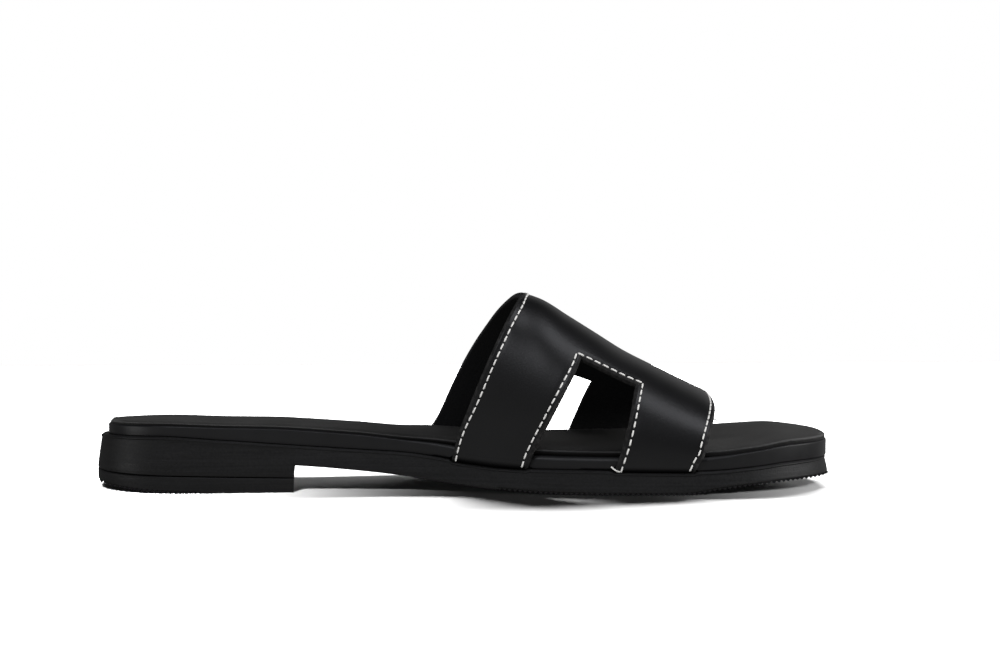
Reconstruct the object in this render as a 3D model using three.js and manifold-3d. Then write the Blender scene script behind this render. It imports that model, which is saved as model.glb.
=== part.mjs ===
// Flat leather slide sandal for the left foot: a one-piece strap with a window in each side,
// lasted between a leather-wrapped platform and a moulded rubber sole with a low heel.
// Millimetres. +X runs to the toe, +Y to the outer (little toe) side and +Z up.
// The origin is on the floor, under the middle of the heel.
import * as THREE from 'three';
import { mergeVertices } from 'three/addons/utils/BufferGeometryUtils.js';
import Module from 'manifold-3d';

// Driving sizes
const soleLength = 256.6;
const ballWidth = 86;
const heelCentre = 45; // from the back of the heel to the origin
const heelLength = 68.6; // of the heel block, back to breast
const heelRise = 10.6; // how much higher the sole's edge is at the heel than at the ball
const toeSpring = 4.3;
const forefootEdge = 8.4; // height of the sole's edge at the ball
const footbedTwist = 1.8; // rise of the footbed's edge above its middle, at the ball's width
const liftBack = 6.6; // thickness of the top lift at the back
const liftBreast = 4.8; // and at the breast
const heelBevel = 2.3; // how far the heel's back lifts off the floor
const heelBevelLength = 34;
const breastDraft = 0.5;
const footbedHeight = 6.6; // platform and insole together, at the ball
const insoleThickness = 1.9; // at the ball
const instepHeight = 65; // height of the last under the strap's back edge
const strapWall = 2.4; // outer leather and lining together
const marginWall = 1.2; // the strap's skived lasting margin
const marginWidth = 12;
const legLean = 0.42; // of the legs' cut edges, towards the heel for each mm down
const fitGap = 0.3; // between pieces that meet
const edgeRadius = 0.7; // of the rubber's edges
const rollRadius = 2.1; // of the platform's rolled side
const crestOffset = -4; // the strap's ridge runs on the big toe's side of the middle
const archPower = 2.3; // 2 is an ellipse, more is squarer

// How far each outline lies inside the sole's widest outline, at the heel, the sides and the toe
const soleOutline = { heel: 0, side: 0, toe: 0 };
const lipOutline = { heel: 1.4, side: 1, toe: 1 };
const platformOutline = { heel: 3.8, side: 2.8, toe: 1 };
const insoleOutline = { heel: 4.5, side: 3.7, toe: 1.3 };

// Half widths of the sole, as shares of the ball's width; the round ends are cut in afterwards
const widths = [
  { at: 0.0, inner: 0.33, outer: 0.33 },
  { at: 0.12, inner: 0.335, outer: 0.345 },
  { at: 0.27, inner: 0.31, outer: 0.35 },
  { at: 0.4, inner: 0.297, outer: 0.365 },
  { at: 0.48, inner: 0.335, outer: 0.395 },
  { at: 0.58, inner: 0.415, outer: 0.455 },
  { at: 0.7, inner: 0.49, outer: 0.49 },
  { at: 0.8, inner: 0.505, outer: 0.49 },
  { at: 0.88, inner: 0.5, outer: 0.475 },
  { at: 1.0, inner: 0.49, outer: 0.45 },
];
const heelRound = 27;
const toeRound = { inner: 44, outer: 58 };
const toeTip = -8; // the tip lies on the big toe's side
const roundPower = 2.2;

// Heights along the sole: rise and under are shares of the heel's rise, spring and toe of the toe
// spring, tilt of the footbed's twist, bed of the footbed's height and sheet of the insole
const heights = [
  { at: 0.0, rise: 0.953, under: 1.0, spring: 0, toe: 0, tilt: 1, bed: 0.72, sheet: 0.55 },
  { at: 0.08, rise: 0.953, under: 1.0, spring: 0, toe: 0, tilt: 1, bed: 0.72, sheet: 0.5 },
  { at: 0.17, rise: 0.815, under: 0.98, spring: 0, toe: 0, tilt: 1, bed: 0.82, sheet: 0.5 },
  { at: 0.27, rise: 0.64, under: 0.88, spring: 0, toe: 0, tilt: 0.9, bed: 0.98, sheet: 0.55 },
  { at: 0.35, rise: 0.51, under: 0.71, spring: 0, toe: 0, tilt: 0.8, bed: 0.96, sheet: 0.6 },
  { at: 0.415, rise: 0.415, under: 0.52, spring: 0, toe: 0, tilt: 0.65, bed: 0.86, sheet: 0.7 },
  { at: 0.457, rise: 0.31, under: 0.37, spring: 0, toe: 0, tilt: 0.4, bed: 0.95, sheet: 0.8 },
  { at: 0.5, rise: 0.155, under: 0.23, spring: 0, toe: 0, tilt: 0.2, bed: 1.04, sheet: 0.9 },
  { at: 0.55, rise: 0.04, under: 0.1, spring: 0, toe: 0, tilt: 0.1, bed: 1.04, sheet: 1 },
  { at: 0.6, rise: 0.0, under: 0.02, spring: 0, toe: 0, tilt: 0, bed: 1.02, sheet: 1 },
  { at: 0.63, rise: 0.0, under: 0, spring: 0, toe: 0, tilt: 0, bed: 1.0, sheet: 1 },
  { at: 0.79, rise: 0.0, under: 0, spring: 0, toe: 0, tilt: -0.22, bed: 1.03, sheet: 1 },
  { at: 0.84, rise: 0.0, under: 0, spring: 0.15, toe: 0.42, tilt: -0.4, bed: 1.05, sheet: 1 },
  { at: 0.89, rise: 0.0, under: 0, spring: 0.4, toe: 0.74, tilt: -0.45, bed: 1.1, sheet: 1 },
  { at: 0.94, rise: 0.0, under: 0, spring: 0.6, toe: 0.93, tilt: -0.33, bed: 1.18, sheet: 1 },
  { at: 1.0, rise: 0.0, under: 0, spring: 0.62, toe: 1.0, tilt: -0.2, bed: 1.14, sheet: 1 },
];

// The last's ridge under the strap, as shares of the instep height
const ridge = [
  { at: 0.44, height: 1.31 },
  { at: 0.5, height: 1.187 },
  { at: 0.545, height: 1.076 },
  { at: 0.578, height: 1.008 },
  { at: 0.605, height: 0.968 },
  { at: 0.64, height: 0.882 },
  { at: 0.675, height: 0.795 },
  { at: 0.718, height: 0.688 },
  { at: 0.754, height: 0.615 },
  { at: 0.793, height: 0.538 },
  { at: 0.825, height: 0.475 },
  { at: 0.85, height: 0.412 },
];

// Where the strap is cut, as shares of the sole's length; turn is the share of the quarter turn
// from the platform up to the ridge
const cuts = {
  inner: [
    { turn: 0.0, back: 0.4843, windowBack: 0.5857, windowFront: 0.7008, front: 0.809 },
    { turn: 0.05, back: 0.491, windowBack: 0.5955, windowFront: 0.7058, front: 0.8165 },
    { turn: 0.15, back: 0.5065, windowBack: 0.613, windowFront: 0.7126, front: 0.8205 },
    { turn: 0.3, back: 0.5262, windowBack: 0.633, windowFront: 0.7192, front: 0.826 },
    { turn: 0.5, back: 0.5475, windowBack: 0.6518, windowFront: 0.7262, front: 0.832 },
    { turn: 0.75, back: 0.567, windowBack: 0.6615, windowFront: 0.735, front: 0.836 },
    { turn: 1.0, back: 0.58, windowBack: 0.6615, windowFront: 0.745, front: 0.8365 },
  ],
  outer: [
    { turn: 0.0, back: 0.454, windowBack: 0.545, windowFront: 0.652, front: 0.756 },
    { turn: 0.05, back: 0.471, windowBack: 0.561, windowFront: 0.66, front: 0.765 },
    { turn: 0.15, back: 0.49, windowBack: 0.583, windowFront: 0.6715, front: 0.776 },
    { turn: 0.35, back: 0.522, windowBack: 0.613, windowFront: 0.6895, front: 0.792 },
    { turn: 0.5, back: 0.542, windowBack: 0.63, windowFront: 0.703, front: 0.806 },
    { turn: 0.75, back: 0.566, windowBack: 0.651, windowFront: 0.73, front: 0.828 },
    { turn: 1.0, back: 0.58, windowBack: 0.6615, windowFront: 0.745, front: 0.8365 },
  ],
};
const windowTop = { inner: 0.535, outer: 0.345 }; // the turn of each window's top edge

// Facets
const soleStations = 46;
const acrossSole = 4;
const rollSteps = 4;
const marginSteps = 2;
const bendSteps = 4;
const archSteps = 9; // below a window's top, and again above it
const bandSteps = 7; // across each leg
const windowSteps = 8;

const lerp = (a, b, share) => a + (b - a) * share;
const clamp01 = (value) => Math.min(1, Math.max(0, value));

// A smooth curve through one column of a table, without overshoot
function column(table, key, name) {
  const slopes = table.slice(1).map((row, i) => (row[name] - table[i][name]) / (row[key] - table[i][key]));
  const tangents = table.map((row, i) => {
    if (i === 0) return slopes[0];
    if (i === slopes.length) return slopes[i - 1];
    const product = slopes[i - 1] * slopes[i];
    return product > 0 ? (2 * product) / (slopes[i - 1] + slopes[i]) : 0;
  });
  return (at) => {
    const i = Math.min(slopes.length - 1, Math.max(0, table.findIndex((row) => row[key] > at) - 1));
    const last = at >= table[slopes.length][key] ? slopes.length - 1 : i;
    const span = table[last + 1][key] - table[last][key];
    const u = (at - table[last][key]) / span;
    if (u <= 0) return table[last][name] + tangents[last] * span * u;
    if (u >= 1) return table[last + 1][name] + tangents[last + 1] * span * (u - 1);
    const low = table[last][name] * (1 + 2 * u) * (1 - u) ** 2 + tangents[last] * span * u * (1 - u) ** 2;
    const high = table[last + 1][name] * (3 - 2 * u) * u ** 2 + tangents[last + 1] * span * (u - 1) * u ** 2;
    return low + high;
  };
}

const halfWidth = { inner: column(widths, 'at', 'inner'), outer: column(widths, 'at', 'outer') };
const sign = { inner: -1, outer: 1 };
const rise = column(heights, 'at', 'rise');
const under = column(heights, 'at', 'under');
const spring = column(heights, 'at', 'spring');
const toe = column(heights, 'at', 'toe');
const tilt = column(heights, 'at', 'tilt');
const bed = column(heights, 'at', 'bed');
const sheet = column(heights, 'at', 'sheet');
const ridgeShare = column(ridge, 'at', 'height');

// Rounds an outline off over the given length from its end
function roundEnd(distance, length) {
  const share = 1 - clamp01(distance / length);
  return (1 - share ** roundPower) ** (1 / roundPower);
}

const outlineStart = (inset) => inset.heel - heelCentre;
const outlineLength = (inset) => soleLength - inset.heel - inset.toe;

// A point of an outline in plan, at a share of its length
function outlinePoint(side, share, inset) {
  const fromHeel = share * soleLength;
  const round = roundEnd(fromHeel, heelRound) * roundEnd(soleLength - fromHeel, toeRound[side]);
  const tip = toeTip * clamp01((share - 0.5) / 0.5) ** 2;
  const half = halfWidth[side](share) * ballWidth - inset.side;
  const full = sign[side] * half - tip;
  return { x: outlineStart(inset) + share * outlineLength(inset), y: tip + full * round };
}

const shareAt = (x, inset) => (x - outlineStart(inset)) / outlineLength(inset);
const edgeAt = (side, x, inset) => outlinePoint(side, shareAt(x, inset), inset).y;

// Heights of the sole's edge plane, of its underside and of the footbed
const soleShare = (x) => clamp01((x + heelCentre) / soleLength);
function edgePlane(x, y) {
  const share = soleShare(x);
  const lean = (-tilt(share) * footbedTwist * y) / (ballWidth / 2);
  return forefootEdge + heelRise * rise(share) + toeSpring * spring(share) + lean;
}
const liftTop = (x) => lerp(liftBack, liftBreast, clamp01((x + heelCentre) / heelLength));
const underside = (x) => heelRise * under(soleShare(x)) + toeSpring * toe(soleShare(x));
const bedHeight = (x) => footbedHeight * bed(soleShare(x));
const sheetHeight = (x) => insoleThickness * sheet(soleShare(x));

// A closed body through rings of points, with flat ends where a ring doesn't close to a line
function loft(rings) {
  const size = rings[0].length;
  const points = rings.flat();
  const index = [];
  for (let i = 0; i + 1 < rings.length; i += 1) {
    for (let j = 0; j < size; j += 1) {
      const a = i * size + j;
      const b = i * size + ((j + 1) % size);
      index.push(a, b + size, b, a, a + size, b + size);
    }
  }
  const ends = [[rings[0], 0, true], [rings.at(-1), (rings.length - 1) * size, false]];
  for (const [ring, first, turned] of ends) {
    const centre = points.length;
    const sum = ring.reduce((total, p) => total.map((value, k) => value + p[k] / size), [0, 0, 0]);
    points.push(sum);
    for (let j = 0; j < size; j += 1) {
      const a = first + j;
      const b = first + ((j + 1) % size);
      index.push(centre, turned ? a : b, turned ? b : a);
    }
  }
  return closedGeometry(points, index);
}

function closedGeometry(points, index) {
  const geometry = new THREE.BufferGeometry();
  geometry.setAttribute('position', new THREE.Float32BufferAttribute(points.flat(), 3));
  geometry.setIndex(index);
  const merged = mergeVertices(geometry, 1e-3);
  const kept = [];
  const all = merged.index.array;
  for (let i = 0; i < all.length; i += 3) {
    const [a, b, c] = [all[i], all[i + 1], all[i + 2]];
    if (a !== b && b !== c && c !== a) kept.push(a, b, c);
  }
  merged.setIndex(kept);
  return merged;
}

const wasm = await Module();
wasm.setup();

function asSolid(geometry) {
  const vertProperties = Float32Array.from(geometry.getAttribute('position').array);
  return new wasm.Manifold(new wasm.Mesh({
    numProp: 3, vertProperties, triVerts: Uint32Array.from(geometry.index.array),
  }));
}

function asGeometry(solid) {
  const mesh = solid.getMesh();
  const geometry = new THREE.BufferGeometry();
  geometry.setAttribute('position', new THREE.Float32BufferAttribute(mesh.vertProperties, 3));
  geometry.setIndex(Array.from(mesh.triVerts));
  return geometry;
}

// One ring across the sole: up the inner side, across the top, down the outer side and back
// underneath. Each level names its outline and its height.
function crossRing(share, levels, topHeight) {
  const sidePoints = (side) => levels.map(({ inset, height }) => {
    const { x, y } = outlinePoint(side, share, inset);
    return [x, y, height(x, y)];
  });
  const inner = sidePoints('inner');
  const outer = sidePoints('outer');
  const [from, to] = [inner.at(-1), outer.at(-1)];
  const top = [];
  for (let i = 1; i < acrossSole; i += 1) {
    const x = lerp(from[0], to[0], i / acrossSole);
    const y = lerp(from[1], to[1], i / acrossSole);
    top.push([x, y, topHeight(x, y)]);
  }
  return [...inner, ...top, ...outer.reverse()];
}

// Stations lie closer together towards both ends
function stations(extra = []) {
  const shares = [];
  for (let i = 0; i <= soleStations; i += 1) {
    shares.push((1 - Math.cos((Math.PI * i) / soleStations)) / 2);
  }
  const clear = shares.filter((share) => extra.every((value) => Math.abs(share - value) > 0.004));
  return [...clear, ...extra].sort((a, b) => a - b);
}

const inset = (outline, by) => ({ heel: outline.heel + by, side: outline.side + by, toe: outline.toe + by });
const between = (a, b, share) => ({
  heel: lerp(a.heel, b.heel, share), side: lerp(a.side, b.side, share), toe: lerp(a.toe, b.toe, share),
});

const breastShare = heelLength / soleLength;
const draftShare = (heelLength + breastDraft) / soleLength;

// Four legs of the strap, each with the lasting margin's place between platform and sole
const legs = ['inner', 'outer'].flatMap((side) => {
  const hem = cuts[side][0];
  return [[hem.back, hem.windowBack], [hem.windowFront, hem.front]].map(([from, to]) => ({
    side, from: from * soleLength - heelCentre, to: to * soleLength - heelCentre,
  }));
});

const halfMargin = marginWall / 2;
const bendHeight = rollRadius + fitGap; // of the strap's fold, its middle above the joint plane

// A leg's edges keep their slant where they turn in: how far back they stand at a height
const leanBack = (up) => legLean * (bendHeight - Math.max(0, up));

// The recess that takes one leg's margin, from below to above the joint plane
function pocket({ side, from, to }, below, above) {
  const steps = 6;
  const reach = lipOutline.side + platformOutline.side;
  const rings = [];
  for (let i = 0; i <= steps; i += 1) {
    const x = lerp(from - leanBack(0) - fitGap, to - leanBack(halfMargin) + fitGap, i / steps);
    const edge = edgeAt(side, x, platformOutline);
    const near = edge - sign[side] * (marginWidth + fitGap);
    const far = edge + sign[side] * reach;
    const ring = [
      [x, near, edgePlane(x, near) - below], [x, near, edgePlane(x, near) + above],
      [x, far, edgePlane(x, far) + above], [x, far, edgePlane(x, far) - below],
    ];
    rings.push(side === 'inner' ? ring.reverse() : ring);
  }
  return asSolid(loft(rings));
}

const outsolePocket = halfMargin + fitGap;
const openAbove = footbedHeight;

function makeOutsole() {
  const heelBottom = (x) => liftTop(x) + fitGap;
  const shares = stations([breastShare, draftShare]);
  const rings = shares.map((share) => {
    const bottom = share <= breastShare + 1e-9 ? heelBottom : underside;
    const low = (x) => bottom(x) + edgeRadius;
    const levels = [
      { inset: inset(soleOutline, edgeRadius), height: bottom },
      { inset: soleOutline, height: low },
      { inset: between(soleOutline, lipOutline, 0.7), height: (x, y) => lerp(low(x), edgePlane(x, y), 0.6) },
      { inset: lipOutline, height: (x, y) => edgePlane(x, y) - edgeRadius },
      { inset: inset(lipOutline, edgeRadius), height: edgePlane },
    ];
    return crossRing(share, levels, edgePlane);
  });
  let solid = asSolid(loft(rings));
  for (const leg of legs) solid = solid.subtract(pocket(leg, outsolePocket, openAbove));
  return asGeometry(solid);
}

function makeTopLift() {
  const shares = stations([breastShare]).filter((share) => share <= breastShare + 1e-9);
  const floor = (x) => heelBevel * clamp01(1 - (x + heelCentre) / heelBevelLength) ** 2;
  const rings = shares.map((share) => crossRing(share, [
    { inset: inset(soleOutline, edgeRadius), height: floor },
    { inset: soleOutline, height: (x) => floor(x) + edgeRadius },
    { inset: soleOutline, height: liftTop },
  ], liftTop));
  return loft(rings);
}

// The platform's side is a full roll between its flat top and underside
function makeMidsole() {
  const bottom = (x, y) => edgePlane(x, y) + fitGap;
  const top = (x, y) => edgePlane(x, y) + bedHeight(x) - sheetHeight(x);
  const shares = stations();
  const levels = [];
  for (const [centre, start] of [[bottom, 0], [top, 1]]) {
    for (let i = 0; i <= rollSteps; i += 1) {
      const angle = ((i / rollSteps + start) * Math.PI) / 2;
      const up = start ? -rollRadius : rollRadius;
      levels.push({
        inset: inset(platformOutline, rollRadius * (1 - Math.sin(angle))),
        height: (x, y) => centre(x, y) + up - rollRadius * Math.cos(angle),
      });
    }
  }
  let solid = asSolid(loft(shares.map((share) => crossRing(share, levels, top))));
  for (const leg of legs) solid = solid.subtract(pocket(leg, forefootEdge, halfMargin + fitGap));
  return asGeometry(solid);
}

function makeInsole() {
  const bottom = (x, y) => edgePlane(x, y) + bedHeight(x) - sheetHeight(x) + fitGap;
  const top = (x, y) => edgePlane(x, y) + bedHeight(x);
  const soft = insoleThickness * 0.55;
  const levels = [
    { inset: inset(insoleOutline, soft * 0.3), height: bottom },
    { inset: insoleOutline, height: (x, y) => lerp(bottom(x, y), top(x, y), 0.35) },
    { inset: inset(insoleOutline, soft * 0.3), height: (x, y) => lerp(bottom(x, y), top(x, y), 0.78) },
    { inset: inset(insoleOutline, soft), height: top },
  ];
  return loft(stations().map((share) => crossRing(share, levels, top)));
}

// The fold of the strap round the platform's edge: the margin's end first, then the bend.
// Each step gives the strap's inner and outer face, across the shoe and up, from the edge.
function foldSteps() {
  const innerRadius = bendHeight;
  const outerRadius = bendHeight + halfMargin;
  const start = Math.acos((bendHeight - halfMargin) / innerRadius);
  const steps = [];
  const bend = (radius, widest, angle) => [
    widest - radius * (1 - Math.sin(angle)), bendHeight - radius * Math.cos(angle),
  ];
  const bendInner = (angle) => bend(innerRadius, fitGap, angle);
  const bendOuter = (angle) => bend(outerRadius, fitGap + strapWall, angle);
  for (let i = 0; i < marginSteps; i += 1) {
    const share = i / marginSteps;
    steps.push({
      inner: [lerp(-marginWidth, bendInner(start)[0], share), halfMargin],
      outer: [lerp(-marginWidth, bendOuter(0)[0], share), -halfMargin],
    });
  }
  for (let i = 0; i <= bendSteps; i += 1) {
    const share = i / bendSteps;
    steps.push({
      inner: bendInner(lerp(start, Math.PI / 2, share)), outer: bendOuter(lerp(0, Math.PI / 2, share)),
    });
  }
  return steps;
}

const fold = foldSteps();
const cutColumns = ['back', 'windowBack', 'windowFront', 'front'];
const cutCurve = {};
for (const side of ['inner', 'outer']) {
  cutCurve[side] = cutColumns.map((name) => column(cuts[side], 'turn', name));
}
const columnSteps = [bandSteps, windowSteps, bandSteps];
const columns = columnSteps.reduce((sum, steps) => sum + steps, 0);

// Where a column of the strap lies along the shoe at a given turn
function strapX(side, turn, step) {
  const [back, windowBack, windowFront, front] = cutCurve[side].map((curve) => curve(turn) * soleLength);
  const bands = [[back, windowBack], [windowBack, windowFront], [windowFront, front]];
  let left = step;
  let band = 0;
  while (band < 2 && left > columnSteps[band]) {
    left -= columnSteps[band];
    band += 1;
  }
  return lerp(bands[band][0], bands[band][1], left / columnSteps[band]) - heelCentre;
}

// A point of the strap's inner face on the arch from the platform's edge over the last
function archPoint(side, turn, x) {
  const angle = (turn * Math.PI) / 2;
  const edge = edgeAt(side, x, platformOutline) + sign[side] * fitGap;
  const foot = edgePlane(x, edge) + bendHeight;
  const crest = instepHeight * ridgeShare(soleShare(x));
  const across = Math.cos(angle) ** (2 / archPower);
  const up = Math.sin(angle) ** (2 / archPower);
  return [x, crestOffset + (edge - crestOffset) * across, lerp(foot, crest, up)];
}

// Rows of one side, from the margin's end up to the ridge
function strapRows(side) {
  const rows = fold.map((step) => ({ fold: step, turn: 0, open: true }));
  for (let i = 1; i <= archSteps; i += 1) {
    rows.push({ turn: (windowTop[side] * i) / archSteps, open: true });
  }
  for (let i = 1; i <= archSteps; i += 1) {
    rows.push({ turn: lerp(windowTop[side], 1, i / archSteps), open: false });
  }
  return rows.map((row) => ({ ...row, side }));
}

function makeUpper() {
  const innerRows = strapRows('inner');
  const outerRows = strapRows('outer').slice(0, -1).reverse();
  const rows = [...innerRows, ...outerRows];
  const foldFace = (row, step, face) => {
    const [across, up] = row.fold[face];
    const x = strapX(row.side, row.turn, step) - leanBack(up);
    const edge = edgeAt(row.side, x, platformOutline);
    const slope = edgeAt(row.side, x + 0.5, platformOutline) - edgeAt(row.side, x - 0.5, platformOutline);
    const square = sign[row.side] * slope * Math.max(0, across - fitGap) * clamp01(up / bendHeight);
    const y = edge + sign[row.side] * across;
    return [x - square, y, edgePlane(x, y) + up];
  };
  const inside = rows.map((row) => {
    const line = [];
    for (let step = 0; step <= columns; step += 1) {
      if (row.fold) line.push(foldFace(row, step, 'inner'));
      else line.push(archPoint(row.side, row.turn, strapX(row.side, row.turn, step)));
    }
    return line;
  });
  const outside = rows.map((row, i) => inside[i].map((point, j) => {
    if (row.fold) return foldFace(row, j, 'outer');
    const along = new THREE.Vector3(...inside[i][Math.min(columns, j + 1)]);
    along.sub(new THREE.Vector3(...inside[i][Math.max(0, j - 1)]));
    const over = new THREE.Vector3(...inside[i + 1][j]).sub(new THREE.Vector3(...inside[i - 1][j]));
    const out = along.cross(over).normalize().multiplyScalar(strapWall);
    return [point[0] + out.x, point[1] + out.y, point[2] + out.z];
  }));
  const windowFrom = bandSteps;
  const windowTo = bandSteps + windowSteps;
  const filled = (i, j) => {
    if (i < 0 || j < 0 || i >= rows.length - 1 || j >= columns) return false;
    const inWindow = j >= windowFrom && j < windowTo;
    return !(inWindow && rows[i].open && rows[i + 1].open);
  };
  const width = columns + 1;
  const shift = rows.length * width;
  const at = (i, j) => i * width + j;
  const index = [];
  const quad = (a, b, c, d) => index.push(a, b, c, a, c, d);
  for (let i = 0; i < rows.length - 1; i += 1) {
    for (let j = 0; j < columns; j += 1) {
      if (!filled(i, j)) continue;
      const [a, b, c, d] = [at(i, j), at(i, j + 1), at(i + 1, j + 1), at(i + 1, j)];
      quad(d, c, b, a);
      quad(b + shift, c + shift, d + shift, a + shift);
      if (!filled(i - 1, j)) quad(b + shift, a + shift, a, b);
      if (!filled(i + 1, j)) quad(d + shift, c + shift, c, d);
      if (!filled(i, j - 1)) quad(a + shift, d + shift, d, a);
      if (!filled(i, j + 1)) quad(c + shift, b + shift, b, c);
    }
  }
  return closedGeometry([...inside.flat(), ...outside.flat()], index);
}

const finishes = {
  rubber: { color: 0x1d1d1e, roughness: 0.55 },
  wrap: { color: 0x1a1a1b, roughness: 0.5 },
  lining: { color: 0x242322, roughness: 0.8 },
  leather: { color: 0x161617, roughness: 0.35 },
};

const pieces = [
  ['top_lift', makeTopLift, finishes.rubber],
  ['outsole', makeOutsole, finishes.rubber],
  ['midsole', makeMidsole, finishes.wrap],
  ['insole', makeInsole, finishes.lining],
  ['upper', makeUpper, finishes.leather],
];

const slide = new THREE.Group();
for (const [name, make, finish] of pieces) {
  const mesh = new THREE.Mesh(make(), new THREE.MeshStandardMaterial({ ...finish, metalness: 0 }));
  mesh.name = name;
  slide.add(mesh);
}

export default slide;
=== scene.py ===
import math
import bmesh
import bpy
import numpy as np
from mathutils import Matrix, Vector
from mathutils.bvhtree import BVHTree
from mathutils.kdtree import KDTree


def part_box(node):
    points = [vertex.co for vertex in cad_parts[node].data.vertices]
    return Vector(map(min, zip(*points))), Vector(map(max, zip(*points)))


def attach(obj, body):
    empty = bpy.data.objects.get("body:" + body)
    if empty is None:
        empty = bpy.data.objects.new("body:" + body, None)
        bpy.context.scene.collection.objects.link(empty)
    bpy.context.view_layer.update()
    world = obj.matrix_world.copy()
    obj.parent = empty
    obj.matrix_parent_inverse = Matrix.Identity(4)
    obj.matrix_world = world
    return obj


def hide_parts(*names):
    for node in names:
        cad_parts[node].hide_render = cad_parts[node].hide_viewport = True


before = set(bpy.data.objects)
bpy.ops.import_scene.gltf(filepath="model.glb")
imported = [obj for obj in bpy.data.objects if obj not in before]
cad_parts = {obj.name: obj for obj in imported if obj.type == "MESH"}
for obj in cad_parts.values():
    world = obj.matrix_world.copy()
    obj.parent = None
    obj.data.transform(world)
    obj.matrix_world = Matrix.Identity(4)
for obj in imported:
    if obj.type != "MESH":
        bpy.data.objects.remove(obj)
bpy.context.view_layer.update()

# The moulded sole unit: black rubber, cast in one with its heel block, with a thin raised lip round
# its top edge, a matt mottle on its side and fine moulding lines on the back of the heel. Its outline
# and its heights follow the same tables of shares as the solid it stands for.
MM = 0.001
sole_low, sole_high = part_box("outsole")
SOLE_LENGTH = sole_high.x - sole_low.x
HEEL_BACK = sole_low.x
BALL_WIDTH = 86 * MM
HEEL_LENGTH = 68.6 * MM
BREAST_DRAFT = 0.5 * MM
HEEL_RISE = 10.6 * MM
TOE_SPRING = 4.3 * MM
FOREFOOT_EDGE = 8.4 * MM
FOOTBED_TWIST = 1.8 * MM
LIFT_BACK, LIFT_BREAST = 6.6 * MM, 4.8 * MM
FIT_GAP = 0.3 * MM
HEEL_ROUND, TOE_ROUND_INNER, TOE_ROUND_OUTER = 27 * MM, 44 * MM, 58 * MM
TOE_TIP = -8 * MM
ROUND_POWER = 2.2
INNER, OUTER = -1, 1
SOLE = (0, 0, 0)
LIP = (1.4 * MM, 1 * MM, 1 * MM)
RUBBER_EDGE, TREAD_EDGE = 0.56 * MM, 0.3 * MM
TREAD_DEPTH = 0.8 * MM
TREAD_START = 0.541
STATIONS = 420
WELD_DISTANCE = 0.002 * MM


def columns(names, *rows):
    """A table as one array for each named column."""
    return dict(zip(names.split(), np.array(rows, float).T))


def curve(table, key, name):
    """A smooth curve through one column, without overshoot."""
    at, value = table[key], table[name]
    step = np.diff(at)
    slope = np.diff(value) / step
    product = slope[:-1] * slope[1:]
    middle = np.where(product > 0, 2 * product / np.where(product > 0, slope[:-1] + slope[1:], 1), 0)
    tangent = np.concatenate([slope[:1], middle, slope[-1:]])

    def look_up(x):
        x = np.asarray(x, float)
        i = np.clip(np.searchsorted(at, x, side="right") - 1, 0, len(step) - 1)
        u = (x - at[i]) / step[i]
        v = np.clip(u, 0, 1)
        low = value[i] * (1 + 2 * v) * (1 - v) ** 2 + tangent[i] * step[i] * v * (1 - v) ** 2
        high = value[i + 1] * (3 - 2 * v) * v**2 + tangent[i + 1] * step[i] * (v - 1) * v**2
        return low + high + np.where(u < 0, tangent[i], tangent[i + 1]) * step[i] * (u - v)

    return look_up


widths = columns(
    "at inner outer",
    (0.0, 0.33, 0.33),
    (0.12, 0.335, 0.345),
    (0.27, 0.31, 0.35),
    (0.4, 0.297, 0.365),
    (0.48, 0.335, 0.395),
    (0.58, 0.415, 0.455),
    (0.7, 0.49, 0.49),
    (0.8, 0.505, 0.49),
    (0.88, 0.5, 0.475),
    (1.0, 0.49, 0.45),
)
heights = columns(
    "at rise under spring toe tilt bed sheet",
    (0.0, 0.953, 1.0, 0, 0, 1, 0.72, 0.55),
    (0.08, 0.953, 1.0, 0, 0, 1, 0.72, 0.5),
    (0.17, 0.815, 0.98, 0, 0, 1, 0.82, 0.5),
    (0.27, 0.64, 0.88, 0, 0, 0.9, 0.98, 0.55),
    (0.35, 0.51, 0.71, 0, 0, 0.8, 0.96, 0.6),
    (0.415, 0.415, 0.52, 0, 0, 0.65, 0.86, 0.7),
    (0.457, 0.31, 0.37, 0, 0, 0.4, 0.95, 0.8),
    (0.5, 0.155, 0.23, 0, 0, 0.2, 1.04, 0.9),
    (0.55, 0.04, 0.1, 0, 0, 0.1, 1.04, 1),
    (0.6, 0.0, 0.02, 0, 0, 0, 1.02, 1),
    (0.63, 0.0, 0, 0, 0, 0, 1.0, 1),
    (0.79, 0.0, 0, 0, 0, -0.22, 1.03, 1),
    (0.84, 0.0, 0, 0.15, 0.42, -0.4, 1.05, 1),
    (0.89, 0.0, 0, 0.4, 0.74, -0.45, 1.1, 1),
    (0.94, 0.0, 0, 0.6, 0.93, -0.33, 1.18, 1),
    (1.0, 0.0, 0, 0.62, 1.0, -0.2, 1.14, 1),
)
half_width = {INNER: curve(widths, "at", "inner"), OUTER: curve(widths, "at", "outer")}
toe_round = {INNER: TOE_ROUND_INNER, OUTER: TOE_ROUND_OUTER}
rise, under, spring, toe, tilt, bed, sheet = (
    curve(heights, "at", name) for name in "rise under spring toe tilt bed sheet".split()
)


def round_end(distance, length):
    share = 1 - np.clip(distance / length, 0, 1)
    return (1 - share**ROUND_POWER) ** (1 / ROUND_POWER)


def outline(side, share, inset, by=0.0):
    """Points of an outline in plan. inset says how far it lies inside the sole at heel, side and toe."""
    heel_in, side_in, toe_in = (value + by for value in inset)
    share = np.asarray(share, float)
    from_heel = share * SOLE_LENGTH
    rounding = round_end(from_heel, HEEL_ROUND) * round_end(SOLE_LENGTH - from_heel, toe_round[side])
    tip = TOE_TIP * np.clip((share - 0.5) / 0.5, 0, 1) ** 2
    full = side * (half_width[side](share) * BALL_WIDTH - side_in) - tip
    return HEEL_BACK + heel_in + share * (SOLE_LENGTH - heel_in - toe_in), tip + full * rounding


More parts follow.
